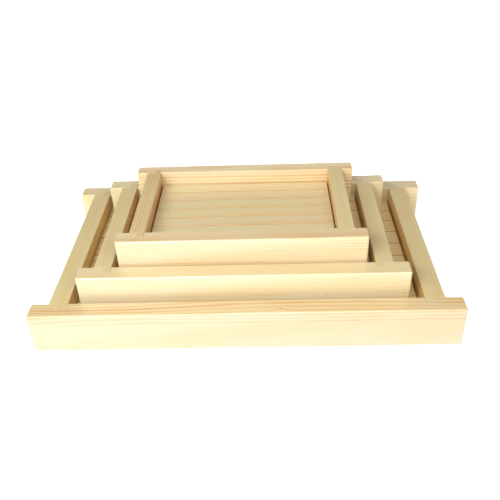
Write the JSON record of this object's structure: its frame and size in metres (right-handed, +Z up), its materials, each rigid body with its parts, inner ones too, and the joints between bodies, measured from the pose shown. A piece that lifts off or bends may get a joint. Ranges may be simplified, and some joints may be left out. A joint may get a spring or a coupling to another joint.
{
  "type": "nesting tray set",
  "caption": "Nesting set of open softwood trays with overrunning front and back rails and lift-out slatted floors, each tray standing on the floor of the next larger one.",
  "frame": {"origin": "on the ground, under the middle of the large tray", "axes": "+X along the long rails, +Y from the front rail to the back rail, +Z up"},
  "size_m": [0.452, 0.274, 0.1045],
  "materials": {
    "rail_pine": "planed, unfinished",
    "side_pine": "planed, unfinished",
    "slat_pine": "planed, unfinished",
    "strip_pine": "sawn and lightly planed, unfinished",
    "brad_steel": "bright"
  },
  "bodies": {
    "large_frame": {"large_front_rail": "rail_pine", "large_back_rail": "rail_pine", "large_left_rail": "side_pine", "large_right_rail": "side_pine", "large_left_ledger": "strip_pine", "large_right_ledger": "strip_pine", "large_ledger_brads": "brad_steel"},
    "large_floor": {"large_slat_1": "slat_pine", "large_slat_2": "slat_pine", "large_slat_3": "slat_pine", "large_slat_4": "slat_pine", "large_slat_5": "slat_pine", "large_slat_6": "slat_pine", "large_slat_7": "slat_pine", "large_slat_8": "slat_pine", "large_slat_9": "slat_pine", "large_batten_1": "strip_pine", "large_batten_2": "strip_pine", "large_batten_3": "strip_pine", "large_floor_brads": "brad_steel"},
    "medium_frame": {"medium_front_rail": "rail_pine", "medium_back_rail": "rail_pine", "medium_left_rail": "side_pine", "medium_right_rail": "side_pine", "medium_left_ledger": "strip_pine", "medium_right_ledger": "strip_pine", "medium_ledger_brads": "brad_steel"},
    "medium_floor": {"medium_slat_1": "slat_pine", "medium_slat_2": "slat_pine", "medium_slat_3": "slat_pine", "medium_slat_4": "slat_pine", "medium_slat_5": "slat_pine", "medium_slat_6": "slat_pine", "medium_slat_7": "slat_pine", "medium_slat_8": "slat_pine", "medium_batten_1": "strip_pine", "medium_batten_2": "strip_pine", "medium_floor_brads": "brad_steel"},
    "small_frame": {"small_front_rail": "rail_pine", "small_back_rail": "rail_pine", "small_left_rail": "side_pine", "small_right_rail": "side_pine", "small_left_ledger": "strip_pine", "small_right_ledger": "strip_pine", "small_ledger_brads": "brad_steel"},
    "small_floor": {"small_slat_1": "slat_pine", "small_slat_2": "slat_pine", "small_slat_3": "slat_pine", "small_slat_4": "slat_pine", "small_slat_5": "slat_pine", "small_slat_6": "slat_pine", "small_slat_7": "slat_pine", "small_batten_1": "strip_pine", "small_batten_2": "strip_pine", "small_floor_brads": "brad_steel"}
  },
  "joints": [
    {"name": "large_floor_lift", "type": "slide", "parent": "large_frame", "child": "large_floor", "axis": [0, 0, 1], "range_m": [0, 0.04]},
    {"name": "medium_tray_lift", "type": "slide", "parent": "large_floor", "child": "medium_frame", "axis": [0, 0, 1], "range_m": [0, 0.06]},
    {"name": "medium_floor_lift", "type": "slide", "parent": "medium_frame", "child": "medium_floor", "axis": [0, 0, 1], "range_m": [0, 0.04]},
    {"name": "small_tray_lift", "type": "slide", "parent": "medium_floor", "child": "small_frame", "axis": [0, 0, 1], "range_m": [0, 0.06]},
    {"name": "small_floor_lift", "type": "slide", "parent": "small_frame", "child": "small_floor", "axis": [0, 0, 1], "range_m": [0, 0.04]}
  ]
}
